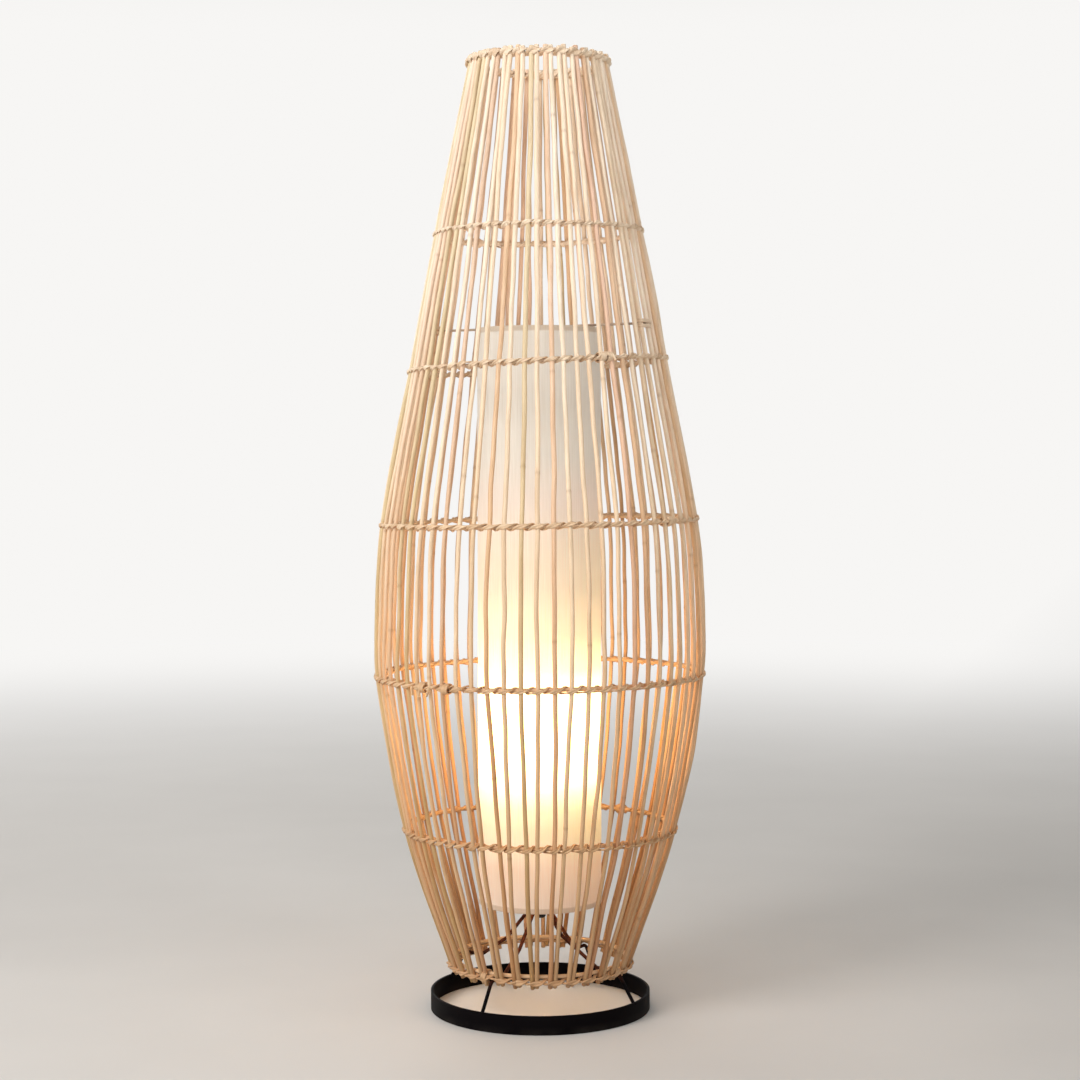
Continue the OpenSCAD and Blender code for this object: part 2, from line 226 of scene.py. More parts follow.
# ---------------------------------------------------------------- mesh building
class Form:
    """Collects tubes and other surfaces, with numbers marked on their points, and makes one mesh.

    grain is a place along and across the fibres, tint picks a piece's own colour, knot is a brown node
    and cut is a cut end. On the shade, knot is the lining and cut is a hem.
    """

    MARKS = {"grain": 3, "tint": 1, "knot": 1, "cut": 1}

    def __init__(self):
        self.points, self.quads, self.tris, self.count = [], [], [], 0
        self.marks = {name: [] for name in self.MARKS}

    def add(self, points, quads=(), tris=(), **marks):
        self.points.append(points)
        if len(quads):
            self.quads.append(np.asarray(quads) + self.count)
        if len(tris):
            self.tris.append(np.asarray(tris) + self.count)
        for name, size in self.MARKS.items():
            value = np.asarray(marks.get(name, 0.0), float)
            shape = (len(points), size) if size > 1 else (len(points),)
            self.marks[name].append(np.broadcast_to(value, shape))
        self.count += len(points)

    def tube(self, path, side, wide, thick=None, sides=12, closed=False, **marks):
        """A tube along path. side is roughly square to the path, and the tube is wide along it."""
        path = np.asarray(path, float)
        n = len(path)
        wide = np.broadcast_to(np.asarray(wide, float), n)
        thick = wide if thick is None else np.broadcast_to(np.asarray(thick, float), n)
        if closed:
            way = np.roll(path, -1, 0) - np.roll(path, 1, 0)
        else:
            way = np.gradient(path, axis=0)
        way = unit(way)
        b = unit(np.cross(way, side))
        a = np.cross(b, way)
        turn = np.linspace(0, 2 * math.pi, sides, endpoint=False)
        c, s = np.cos(turn), np.sin(turn)
        rings = (path[:, None] + wide[:, None, None] * c[None, :, None] * a[:, None]
                 + thick[:, None, None] * s[None, :, None] * b[:, None])
        length = np.concatenate([[0], np.cumsum(np.linalg.norm(np.diff(path, axis=0), axis=1))])
        grain = np.stack(np.broadcast_arrays(wide[:, None] * c, thick[:, None] * s, length[:, None]), -1)
        offset = np.asarray(marks.pop("offset", (0, 0, 0)), float)
        spread = {}
        for name, value in marks.items():
            value = np.asarray(value, float)
            spread[name] = np.repeat(value, sides) if value.ndim else value
        i, k = np.meshgrid(np.arange(n if closed else n - 1), np.arange(sides), indexing="ij")
        j, m = (i + 1) % n, (k + 1) % sides
        quads = np.stack([i * sides + k, i * sides + m, j * sides + m, j * sides + k], -1).reshape(-1, 4)
        points, tris = rings.reshape(-1, 3), []
        grain = grain.reshape(-1, 3) + offset
        if not closed:
            foot, tip = n * sides, n * sides + 1
            around_it = np.arange(sides)
            after = (around_it + 1) % sides
            last = (n - 1) * sides
            tris = np.concatenate([
                np.stack([np.full(sides, foot), after, around_it], -1),
                np.stack([np.full(sides, tip), last + around_it, last + after], -1),
            ])
            points = np.concatenate([points, path[[0, -1]]])
            grain = np.concatenate([grain, offset + [(0, 0, 0), (0, 0, length[-1])]])
            for name, value in spread.items():
                if np.ndim(value):
                    spread[name] = np.concatenate([value, value[[0]], value[[-1]]])
        self.add(points, quads, tris, grain=grain, **spread)

    def make(self, name, material):
        points = np.concatenate(self.points)
        quads = np.concatenate(self.quads) if self.quads else np.zeros((0, 4), int)
        tris = np.concatenate(self.tris) if self.tris else np.zeros((0, 3), int)
        mesh = bpy.data.meshes.new(name)
        mesh.vertices.add(len(points))
        mesh.vertices.foreach_set("co", points.astype(np.float32).ravel())
        corners = np.concatenate([quads.ravel(), tris.ravel()]).astype(np.int32)
        sizes = np.concatenate([np.full(len(quads), 4), np.full(len(tris), 3)]).astype(np.int32)
        starts = np.concatenate([[0], np.cumsum(sizes)[:-1]]).astype(np.int32)
        mesh.loops.add(len(corners))
        mesh.loops.foreach_set("vertex_index", corners)
        mesh.polygons.add(len(sizes))
        mesh.polygons.foreach_set("loop_start", starts)
        mesh.polygons.foreach_set("loop_total", sizes)
        mesh.polygons.foreach_set("use_smooth", np.full(len(sizes), True))
        for mark, size in self.MARKS.items():
            values = np.concatenate(self.marks[mark])
            kind, key = ("FLOAT_VECTOR", "vector") if size > 1 else ("FLOAT", "value")
            layer = mesh.attributes.new(mark, kind, "POINT")
            layer.data.foreach_set(key, np.ascontiguousarray(values, np.float32).ravel())
        mesh.update(calc_edges=True)
        mesh.validate()
        made = bpy.data.objects.new(name, mesh)
        bpy.context.scene.collection.objects.link(made)
        made.data.materials.append(material)
        return made


# ---------------------------------------------------------------- materials
class Looks:
    """A material with one Principled surface, and short ways to add nodes to it."""

    def __init__(self, name, **sockets):
        self.material = bpy.data.materials.new(name)
        self.material.use_nodes = True
        self.tree = self.material.node_tree
        self.surface = self.tree.nodes["Principled BSDF"]
        self.set(**sockets)

    def set(self, **sockets):
        for name, value in sockets.items():
            self.plug(self.surface.inputs[name.replace("_", " ")], value)

    def plug(self, socket, value):
        if isinstance(value, bpy.types.NodeSocket):
            self.tree.links.new(value, socket)
        elif isinstance(value, tuple) and len(value) == 3 and len(socket.default_value) == 4:
            socket.default_value = (*value, 1)
        else:
            socket.default_value = value

    def node(self, kind, inputs=(), **settings):
        made = self.tree.nodes.new("ShaderNode" + kind)
        for name, value in settings.items():
            setattr(made, name, value)
        for key, value in dict(inputs).items():
            self.plug(made.inputs[key], value)
        return made

    def height(self):
        return self.node("SeparateXYZ", {0: self.place()}).outputs["Z"]

    def mark(self, name, output="Fac"):
        return self.node("Attribute", attribute_name=name).outputs[output]

    def place(self):
        return self.node("TexCoord").outputs["Object"]

    def stretched(self, vector, scale):
        return self.node("Mapping", {"Vector": vector, "Scale": scale}).outputs["Vector"]

    def noise(self, vector, scale, detail=3.0, roughness=0.55, distortion=0.0):
        return self.node("TexNoise", {"Vector": vector, "Scale": scale, "Detail": detail,
                                      "Roughness": roughness, "Distortion": distortion}).outputs["Fac"]

    def ramp(self, factor, *stops):
        made = self.node("ValToRGB", {"Fac": factor})
        band = made.color_ramp
        while len(band.elements) < len(stops):
            band.elements.new(0.5)
        for element, (at, colour) in zip(band.elements, stops):
            element.position = at
            element.color = (*colour, 1) if isinstance(colour, tuple) else (colour,) * 3 + (1,)
        return made.outputs["Color"]

    def mix(self, factor, a, b, blend="MIX"):
        made = self.node("Mix", data_type="RGBA", blend_type=blend)
        self.plug(made.inputs[0], factor)
        self.plug(made.inputs[6], a)
        self.plug(made.inputs[7], b)
        return made.outputs[2]

    def math(self, operation, a, b=0.0):
        return self.node("Math", {0: a, 1: b}, operation=operation).outputs[0]

    def fit(self, value, low, high, to_low=0.0, to_high=1.0):
        return self.node("MapRange", {"Value": value, "From Min": low, "From Max": high,
                                      "To Min": to_low, "To Max": to_high}).outputs["Result"]

    def bump(self, height, strength, distance, under=None):
        inputs = {"Height": height, "Strength": strength, "Distance": distance}
        if under is not None:
            inputs["Normal"] = under
        return self.node("Bump", inputs).outputs["Normal"]


def srgb(r, g, b):
    """A colour from 0 to 255 as linear values."""
    return tuple(c / 255 / 12.92 if c <= 10 else ((c / 255 + 0.055) / 1.055) ** 2.4 for c in (r, g, b))


def cane_looks(name, palette, streak=0.35, foot=(0.56, 0.43, 0.31)):
    """Peeled rattan: long fibres, pores, brown nodes, a colour of its own on each stick, pale cut ends.

    The cane is painted darker and browner low down as painted shade, and paler and cooler at the top as
    painted light: foot is its tone at the bottom.
    """
    look = Looks(name, Specular_IOR_Level=0.35, Coat_Weight=0.06, Coat_Roughness=0.35)
    grain = look.mark("grain", "Vector")
    own = look.ramp(look.mark("tint"), *palette)
    fibre = look.noise(look.stretched(grain, (1.0, 1.0, 0.018)), 2600, 3, 0.6)
    blotch = look.noise(look.stretched(grain, (1.0, 1.0, 0.12)), 150, 3, 0.55, 0.4)
    pore = look.noise(look.stretched(grain, (1.0, 1.0, 0.05)), 5200, 2, 0.7)
    shade = look.ramp(blotch, (0.32, (0.84, 0.78, 0.70)), (0.5, (0.98, 0.96, 0.94)),
                      (0.7, (1.06, 1.05, 1.03)))
    colour = look.mix(0.85, own, shade, "MULTIPLY")
    lines = look.ramp(fibre, (0.3, (0.72, 0.6, 0.46)), (0.48, (1.0, 0.98, 0.96)), (0.75, (1.08, 1.06, 1.04)))
    colour = look.mix(streak, colour, lines, "MULTIPLY")
    specks = look.ramp(pore, (0.27, (0.5, 0.36, 0.24)), (0.36, (1.0, 1.0, 1.0)))
    colour = look.mix(0.5, colour, specks, "MULTIPLY")
    ringed = look.math("MULTIPLY", look.mark("knot"), look.fit(fibre, 0.2, 0.7, 0.6, 1.0))
    colour = look.mix(ringed, colour, srgb(150, 104, 62))
    # painted shade and painted light: the colour is darkened and browned towards the floor, and made paler
    # and cooler near the top
    painted_shade_and_light = look.ramp(look.fit(look.height(), 0.05, 1.05), (0.0, foot), (0.10, (0.66, 0.52, 0.38)),
                    (0.32, (0.81, 0.69, 0.56)), (0.60, (0.95, 0.93, 0.90)), (0.85, (0.98, 1.02, 1.09)),
                    (1.0, (0.97, 1.01, 1.08)))
    colour = look.mix(1.0, colour, painted_shade_and_light, "MULTIPLY")
    pith = look.ramp(look.noise(grain, 4200, 2, 0.6), (0.35, srgb(196, 160, 116)), (0.6, srgb(240, 221, 186)))
    colour = look.mix(look.mark("cut"), colour, pith)
    look.set(Base_Color=colour, Roughness=look.fit(fibre, 0.3, 0.7, 0.58, 0.42))
    fine = look.bump(fibre, 0.35, 0.0003)
    look.set(Normal=look.bump(look.math("ADD", look.mark("knot"), blotch), 0.3, 0.0006, fine))
    return look.material


def steel_looks():
    """Black powder coat on steel: fine grain, rubbed places, dust low down, and the lamp's warm light painted
    on as a brown painted reflection on the legs under the cage.
    """
    look = Looks("black_powder_coat", Specular_IOR_Level=0.05)
    place, height = look.place(), look.height()
    pebble = look.noise(place, 900, 3, 0.6)
    cloud = look.noise(place, 22, 4, 0.6)
    rubbed = look.ramp(look.noise(look.stretched(place, (1, 1, 0.25)), 160, 4, 0.7), (0.66, 0.0), (0.76, 1.0))
    body = look.ramp(cloud, (0.3, srgb(4, 2, 4)), (0.7, srgb(9, 6, 8)))
    worn = look.mix(look.math("MULTIPLY", rubbed, 0.22), body, srgb(44, 38, 35))
    # painted reflection: the lamp's warm light on the steel above the cage's seat, painted on as brown
    # patches
    painted_reflection_patches = look.ramp(look.noise(place, 240, 4, 0.65), (0.35, 0.35), (0.6, 1.0))
    painted_warm_reflection = look.math("MULTIPLY", look.fit(height, 0.044, 0.072, 0.0, 0.8), painted_reflection_patches)
    worn = look.mix(painted_warm_reflection, worn, srgb(112, 62, 42))
    patches = look.ramp(cloud, (0.4, 0.0), (0.65, 1.0))
    dust = look.math("MULTIPLY", look.fit(height, 0.0, 0.010, 0.4, 0.0), patches)
    look.set(Base_Color=look.mix(dust, worn, srgb(58, 52, 46)))
    look.set(Roughness=look.fit(cloud, 0.3, 0.7, 0.5, 0.66))
    look.set(Normal=look.bump(pebble, 0.18, 0.0002))
    return look.material


def metal_looks(name, colour, tint, roughness):
    """Plated or plain metal with fine drawn lines and a slight patina."""
    look = Looks(name, Metallic=1.0)
    place = look.place()
    drawn = look.noise(look.stretched(place, (1.0, 1.0, 0.06)), 2400, 3, 0.6)
    cloud = look.noise(place, 120, 4, 0.6)
    look.set(Base_Color=look.ramp(cloud, (0.35, tint), (0.62, colour)),
             Roughness=look.fit(drawn, 0.3, 0.7, roughness, roughness + 0.16))
    look.set(Normal=look.bump(drawn, 0.12, 0.0002))
    return look.material


def plain_looks(name, colour, shadow, roughness):
    """Moulded plastic, ceramic or coated wire: slight mottling and a fine surface grain."""
    look = Looks(name, Specular_IOR_Level=0.45)
    place = look.place()
    cloud = look.noise(place, 60, 4, 0.6)
    look.set(Base_Color=look.ramp(cloud, (0.35, shadow), (0.6, colour)),
             Roughness=look.fit(cloud, 0.3, 0.7, roughness, roughness + 0.12))
    look.set(Normal=look.bump(look.noise(place, 1400, 2, 0.6), 0.15, 0.0002))
    return look.material


# Glow of the lit shade: height, strength and colour. It is brightest round the bulb's globe.
GLOW_PEAK = 8.0
GLOW = [
    (0.134, 0.15, (1.0, 0.42, 0.10)),
    (0.190, 0.29, (1.0, 0.42, 0.06)),
    (0.238, 0.44, (1.0, 0.68, 0.13)),
    (0.262, 0.78, (1.0, 0.66, 0.22)),
    (0.280, 2.10, (1.0, 0.54, 0.21)),
    (0.310, 5.20, (1.0, 0.56, 0.22)),
    (0.350, 8.00, (1.0, 0.60, 0.18)),
    (0.400, 5.20, (1.0, 0.57, 0.24)),
    (0.435, 2.10, (1.0, 0.52, 0.20)),
    (0.475, 0.70, (1.0, 0.64, 0.24)),
    (0.535, 0.32, (1.0, 0.68, 0.24)),
    (0.590, 0.22, (1.0, 0.66, 0.26)),
    (0.640, 0.15, (1.0, 0.62, 0.44)),
    (0.700, 0.07, (0.8, 1.00, 0.90)),
    (0.859, 0.06, (0.5, 0.90, 1.00)),
]


def fabric_looks(low, high):
    """The shade's laminated cloth: upright slubs, a crossing weft, stiffer hems, and the bulb's glow."""
    look = Looks("shade_cloth", Roughness=0.82, Specular_IOR_Level=0.2,
                 Sheen_Weight=0.15, Sheen_Roughness=0.5)
    flat = look.mark("grain", "Vector")
    slub = look.noise(look.stretched(flat, (1.0, 0.02, 1.0)), 620, 4, 0.65)
    broad = look.noise(look.stretched(flat, (1.0, 0.05, 1.0)), 90, 3, 0.55)
    weft = look.noise(look.stretched(flat, (0.03, 1.0, 1.0)), 1100, 2, 0.6)
    cloth = look.ramp(slub, (0.3, srgb(227, 218, 206)), (0.5, srgb(233, 226, 215)),
                      (0.72, srgb(238, 232, 224)))
    bands = look.ramp(broad, (0.3, (0.92, 0.90, 0.87)), (0.7, (1.04, 1.03, 1.02)))
    cloth = look.mix(0.3, cloth, bands, "MULTIPLY")
    hem = look.mark("cut")
    cloth = look.mix(look.math("MULTIPLY", hem, 0.45), cloth, srgb(186, 160, 126))
    look.set(Base_Color=cloth)
    span = high - low
    stops = [((z - low) / span, tuple(s / GLOW_PEAK * c for c in colour)) for z, s, colour in GLOW]
    glow = look.ramp(look.fit(look.height(), low, high), *stops)
    thread = look.ramp(slub, (0.28, 0.9), (0.5, 1.0), (0.75, 1.06))
    glow = look.mix(1.0, glow, thread, "MULTIPLY")
    lining = look.mark("knot")
    # the doubled hems and the lining let less light through to the eye
    dimmed = look.math("MAXIMUM", look.math("MULTIPLY", hem, 0.6), look.math("MULTIPLY", lining, 0.7))
    glow = look.mix(dimmed, glow, (0.0, 0.0, 0.0))
    look.set(Emission_Color=glow, Emission_Strength=GLOW_PEAK)
    weave = look.math("ADD", slub, look.math("MULTIPLY", weft, 0.5))
    look.set(Normal=look.bump(weave, 0.3, 0.0003))
    return look.material


def glass_looks():
    """Frosted bulb glass, lit from inside."""
    look = Looks("frosted_glass", Roughness=0.25, Transmission_Weight=0.6, IOR=1.45, Emission_Strength=3.0)
    place = look.place()
    frost = look.noise(place, 300, 3, 0.6)
    look.set(Base_Color=look.ramp(frost, (0.3, srgb(250, 236, 210)), (0.7, srgb(255, 250, 238))))
    look.set(Emission_Color=look.ramp(frost, (0.3, (1.0, 0.80, 0.52)), (0.7, (1.0, 0.86, 0.62))))
    return look.material


STRAW = srgb(238, 214, 184)
CREAM = srgb(244, 226, 201)
PEACH = srgb(236, 202, 172)
ROSE = srgb(228, 190, 166)
HONEY = srgb(224, 188, 146)
OLIVE = srgb(220, 202, 160)
CANE_TINTS = [(0.0, STRAW), (0.2, CREAM), (0.38, PEACH), (0.52, STRAW),
              (0.66, OLIVE), (0.78, ROSE), (0.9, HONEY), (1.0, PEACH)]
ROD_TINTS = [(0.0, CREAM), (0.5, STRAW), (1.0, PEACH)]
PEEL_TINTS = [(0.0, srgb(234, 209, 179)), (0.4, srgb(222, 194, 162)),
              (0.7, srgb(242, 222, 194)), (1.0, srgb(208, 178, 144))]


# ---------------------------------------------------------------- the cage
def all_sticks():
    """Every stick, sector by sector, in pairs."""
    random = np.random.RandomState(SEED)
    pairs_per_sector = PAIRS // len(SECTORS)
    sticks = []
    for sector in range(len(SECTORS)):
        for n in range(pairs_per_sector):
            for side in (-1, 1):
                sticks.append(Stick(FIRST_PAIR + sector * pairs_per_sector + n, side, random))
    return sticks


def cane(form, stick, number):
    """Adds one stick, with raised brown nodes and clean cut ends."""
    step, closest, bevel, narrowed = 7 * MM, 0.4 * MM, 0.5 * MM, 0.84
    z = np.arange(stick.foot + bevel, stick.tip - bevel, step)
    near = [n + d * MM for n in stick.nodes for d in (-4, -2, -1, 0, 1, 2, 4)]
    near = [v for v in near if stick.foot + step < v < stick.tip - step]
    z = np.unique(np.concatenate([z, [stick.tip - bevel], near]))
    z = z[np.concatenate([[True], np.diff(z) > closest])]
    # a node is a low swelling with a groove just above it
    swell, brown = np.zeros(len(z)), np.zeros(len(z))
    for node in stick.nodes:
        swell += 0.07 * np.exp(-((z - node) / (3.0 * MM)) ** 2)
        swell -= 0.05 * np.exp(-((z - node - 1.2 * MM) / (0.8 * MM)) ** 2)
        brown += np.exp(-((z - node) / (2.2 * MM)) ** 2)
    slow = 0.03 * np.sin(2 * math.pi * z / 0.31 + 7 * stick.tint)
    radius = STICK_R * stick.thickness * np.interp(z, *TAPER.T) * (1 + swell + slow)
    z = np.concatenate([[stick.foot], z, [stick.tip]])
    radius = np.concatenate([[radius[0] * narrowed], radius, [radius[-1] * narrowed]])
    brown = np.concatenate([[0], brown, [0]])
    cut = np.zeros(len(z))
    cut[[0, -1]] = 1
    form.tube(stick.middles(z), radial(stick.azimuth), radius, sides=14, tint=stick.tint,
              knot=0.3 * np.clip(brown, 0, 1), cut=cut, offset=(number * 0.31, number * 0.17, number * 0.73))


def build_canes(sticks, look):
    """One piece for each sector's sticks."""
    per_sector = len(sticks) // len(SECTORS)
    for s, sector in enumerate(SECTORS):
        form = Form()
        for number in range(s * per_sector, (s + 1) * per_sector):
            cane(form, sticks[number], number)
        piece = form.make("canes_" + sector, look)
        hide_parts("sticks_" + sector)
        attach(piece, "cage")


def build_hoops(look):
    """Each inner hoop is one rod bent round, with its two ends cut on a slant and lapped."""
    random = np.random.RandomState(SEED + 1)
    lap = 14
    inset = STICK_R + HOOP_R + CANE_GAP
    turn = np.linspace(0, 360 + lap, 300)
    for n in range(TOP_HOOP, BOTTOM_HOOP + 1):
        form = Form()
        start = random.uniform(60, 300)
        middles, out, up = Ring(n).at(start + turn)
        wobble = 0.25 * MM * np.sin(np.radians(5 * turn + 40 * n))
        lapped = np.clip((turn - 360) / lap, 0, 1)
        under = np.clip(1 - turn / lap, 0, 1)
        rise = (wobble + (lapped - under) * HOOP_R * 0.55) + (BOTTOM_ROD_RISE if n == BOTTOM_HOOP else 0)
        path = middles - out * inset + up * rise[:, None]
        slant = 1 - 0.55 * np.maximum(lapped, under)
        brown = np.zeros(len(turn))
        for node in np.arange(random.uniform(0, 60), 360, random.uniform(55, 95)):
            brown += np.exp(-((turn - node) / 1.2) ** 2)
        radius = HOOP_R * (1 + 0.07 * brown)
        form.tube(path, out, radius, radius * slant, sides=16,
                  tint=0.15 + 0.1 * (n % 3), knot=0.5 * np.clip(brown, 0, 1), offset=(0, 0, 3.1 * n))
        piece = form.make(f"hoop_rod_{n}", look)
        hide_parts(f"hoop_{n}")
        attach(piece, "cage")


def crossings(sticks, ring, paired):
    """Azimuths, in order, at which the ring crosses each stick, or each pair's middle."""
    azimuths = []
    for a, b in zip(sticks[0::2], sticks[1::2]):
        z = ring.at(np.array([a.azimuth]))[0][:, 2]
        both = [a.azimuth_at(z)[0], b.azimuth_at(z)[0]]
        azimuths += [sum(both) / 2] if paired else both
    return np.sort(np.array(azimuths))


def phase_path(azimuths):
    """(azimuths, phases) once round: from one crossing to the next is half a turn of the strands."""
    count = len(azimuths)
    steps = np.arange(count * STRAND_POINTS + 1) / STRAND_POINTS
    whole = np.concatenate([azimuths, azimuths[:1] + 360])
    at = np.interp(steps % count, np.arange(count + 1), whole) + 360 * (steps // count)
    return at, math.pi * steps


def wrapped(ring, azimuth, out_by, up_by):
    """(points, outward directions, upward directions) off the ring by the given distances."""
    middles, out, up = ring.at(azimuth)
    return middles + out * out_by[:, None] + up * up_by[:, None], out, up


def flatter(c, sharp):
    """A cosine with broader ends."""
    return np.tanh(sharp * c) / np.tanh(sharp)


def twining(form, sticks, n, random, wide, thick, paired=False, lift=0.0, below=False):
    """Two strands that pass in front of and behind the sticks by turns, each of a few peels side by side.

    Below the hoop, the strands cross each other under it, and rise over the legs that the cage rests on.
    """
    ring = Ring(n)
    azimuth, phase = phase_path(crossings(sticks, ring, paired))
    front = STICK_R + thick + 0.1 * MM
    back = -(front + (0 if below else CANE_GAP + 2 * HOOP_R))
    middle, reach = (front + back) / 2, (front - back) / 2
    over_hoop = thick + (0.3 * MM if below else HOOP_R)
    if below:
        from_leg = np.abs((azimuth - LEG_AZIMUTH + 45) % 90 - 45)
        lift = lift * (1 - np.exp(-((from_leg / 4.5) ** 4)))
    for strand in range(2):
        a = phase + math.pi * strand
        step = phase / math.pi
        draws = random.normal(0, 1, (2, int(step[-1]) + 2))
        vary, sway = (np.interp(step, np.arange(len(v)), v) for v in draws)
        out_by = middle + reach * flatter(np.cos(a), 1.9 if paired else 1.25) * (1 + 0.02 * vary)
        # low and level across the stick's front, then steeply over or under the hoop behind it
        turn = np.abs(np.degrees(np.angle(np.exp(1j * a))))
        clear = 0.45 * over_hoop * np.exp(-(((turn - 112) / 28) ** 2))
        up_by = np.sin(a) * 0.6 * over_hoop * (1 + 0.12 * vary) + np.sign(np.sin(a)) * clear
        up_by = up_by + 0.4 * MM * sway + lift
        path, out, up = wrapped(ring, azimuth, out_by, up_by)
        way = unit(np.gradient(path, axis=0))
        lean = np.cos(a)[:, None] * out + np.sin(a)[:, None] * up
        flat = unit(np.cross(way, lean))
        full = wide * (0.62 + 0.38 * np.clip(np.cos(a), 0, 1)) * (1 + 0.08 * vary)
        for peel in range(PEELS):
            side = (peel - (PEELS - 1) / 2) * 2 / PEELS
            strip = path + flat * (side * full)[:, None] + lean * (0.2 * MM * (peel - 0.5) * sway[:, None])
            half_wide, half_thick = full / PEELS * 1.15, thick * random.uniform(0.88, 1.05)
            tint = np.clip(random.uniform(0.2, 0.8) + 0.2 * vary, 0, 1)
            form.tube(strip, flat, half_wide, half_thick, sides=10, tint=tint, offset=(n, strand, 1.7 * peel))


def tied_off(form, ring, azimuth, random, tails):
    """A tied-off knot on a lashing: a few tight turns, and short cut tails hanging below it."""
    turns, points, tail_points = 3.2, 70, 12
    turn = np.linspace(0, 2 * math.pi * turns, points)
    at = azimuth + np.linspace(-1.1, 1.1, points)
    out_by = -2.6 * MM + 8.2 * MM * np.cos(turn)
    up_by = 5.6 * MM * np.sin(turn)
    path, out, up = wrapped(ring, at, out_by, up_by)
    lean = np.cos(turn)[:, None] * out + np.sin(turn)[:, None] * up
    form.tube(path, np.cross(unit(np.gradient(path, axis=0)), lean), 1.9 * MM, 1.1 * MM, sides=10,
              tint=random.uniform(0, 1), offset=(azimuth, 0, 0))
    for away, length in tails:
        s = np.linspace(0, 1, tail_points)
        hanging = np.full(tail_points, azimuth + away) + 0.8 * s * random.normal(0, 1)
        path, _, _ = wrapped(ring, hanging, (5.0 + 1.6 * s) * MM, (1 - s) * 2 * MM - length * s)
        cut = np.zeros(tail_points)
        cut[-1] = 1
        form.tube(path, radial(azimuth + away), 2.0 * MM, 1.1 * MM, sides=10, tint=0.65, cut=cut)


def build_lashings(sticks, look):
    """The top lashing is a broad rope on top of its hoop, and the bottom one crosses under its hoop."""
    random = np.random.RandomState(SEED + 2)
    for n in range(TOP_HOOP, BOTTOM_HOOP + 1):
        form = Form()
        if n == TOP_HOOP:
            twining(form, sticks, n, random, 5.3 * MM, 1.3 * MM, paired=True, lift=2.4 * MM)
        elif n == BOTTOM_HOOP:
            twining(form, sticks, n, random, 3.4 * MM, 1.2 * MM, paired=True, lift=-3.0 * MM, below=True)
        else:
            twining(form, sticks, n, random, (2.9 if n < 5 else 2.6) * MM, 0.95 * MM)
        for azimuth, tails in KNOTS.get(n, ()):
            tied_off(form, Ring(n), azimuth, random, tails)
        piece = form.make(f"twine_{n}", look)
        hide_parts(f"lashing_{n}")
        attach(piece, "cage")


def build_bar_ties(look):
    """Turns of peel round the two sticks beside each end of the steady bar, above and below it."""
    low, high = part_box("steady_bar")
    bar_z = (low[2] + high[2]) / 2
    random = np.random.RandomState(SEED + 3)
    form = Form()
    radius = wall(bar_z, 1)[0]
    half_gap = math.radians(PAIR_STEP / 2 - wall(bar_z, 2)[0]) * radius
    turns, points_a_turn = 6, 40
    turn = np.linspace(0, 2 * math.pi * turns, points_a_turn * turns)
    across = (half_gap + STICK_R + 1.2 * MM) * flatter(np.cos(turn), 1.3)
    depth = (STICK_R + 1.3 * MM) * flatter(np.sin(turn), 1.3)
    rise = np.linspace(-5.0, 5.0, len(turn)) * MM
    # the middle turns part to let the bar through
    rise += np.where(np.abs(rise) < 1.9 * MM, np.sign(rise) * 1.2 * MM, 0)
    for azimuth in (LEG_AZIMUTH, LEG_AZIMUTH + 180):
        middle = radial(azimuth) * radius + np.array([0, 0, bar_z])
        path = middle + around(azimuth) * across[:, None] + radial(azimuth) * depth[:, None]
        path = path + UP * rise[:, None]
        form.tube(path, np.broadcast_to(UP, path.shape), 1.1 * MM, 0.7 * MM, sides=10,
                  tint=random.uniform(0, 1), offset=(azimuth, 0, 0))
    piece = form.make("bar_wraps", look)
    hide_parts("bar_ties")
    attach(piece, "cage")


# ---------------------------------------------------------------- the stand
def rounded(route, bend_r):
    """A flat route with a round bend at each inner corner."""
    points = [route[0]]
    for before, corner, after in zip(route, route[1:], route[2:]):
        way_in, way_out = unit(corner - before), unit(after - corner)
        turn = math.atan2(way_in[0] * way_out[1] - way_in[1] * way_out[0], way_in @ way_out)
        inward = math.copysign(1, turn) * np.array([-way_in[1], way_in[0]])
        middle = corner - way_in * bend_r * math.tan(abs(turn) / 2) + bend_r * inward
        start = math.atan2(-inward[1], -inward[0])
        a = start + turn * np.linspace(0, 1, 10)
        points += list(middle + bend_r * np.stack([np.cos(a), np.sin(a)], -1))
    return np.array(points + [route[-1]])


def finer(path, step):
    """The path with points no further than step apart."""
    out = [path[0]]
    for a, b in zip(path, path[1:]):
        count = max(1, int(np.linalg.norm(b - a) / step))
        out += [a + (b - a) * k / count for k in range(1, count + 1)]
    return np.array(out)


def build_legs(look):
    """Four wires from the base hoop to the hub, each bent up into a seat for the cage."""
    random = np.random.RandomState(SEED + 4)
    route = finer(rounded(np.array(LEG_ROUTE_MM) * MM, LEG_BEND_R), 3 * MM)
    for n, side in enumerate(LEG_SIDES):
        azimuth = LEG_AZIMUTH + 90 * n
        form = Form()
        path = radial(azimuth) * route[:, :1] + UP * route[:, 1:]
        form.tube(path, np.broadcast_to(around(azimuth), path.shape), LEG_R, sides=24)
        weld(form, path[0], unit(path[1] - path[0]), LEG_R, random)
        weld(form, path[-1], unit(path[-2] - path[-1]), LEG_R, random)
        piece = form.make("leg_wire_" + side, look)
        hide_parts("leg_" + side)
        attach(piece, "stand")


def weld(form, place, way, wire_r, random):
    """A lumpy bead round the end of a wire."""
    points, bead_r = 36, 1.3 * MM
    any_other_way = [0.3, 0.5, 0.81]
    side = unit(np.cross(way, any_other_way))
    other = np.cross(way, side)
    turn = np.linspace(0, 2 * math.pi, points, endpoint=False)
    lumps = 1 + 0.22 * np.sin(7 * turn + random.uniform(0, 6)) + 0.06 * random.normal(0, 1, points)
    ring = side * np.cos(turn)[:, None] + other * np.sin(turn)[:, None]
    path = place + way * bead_r + ring * (wire_r + 0.5 * MM)
    form.tube(path, ring, bead_r * lumps, sides=12, closed=True)


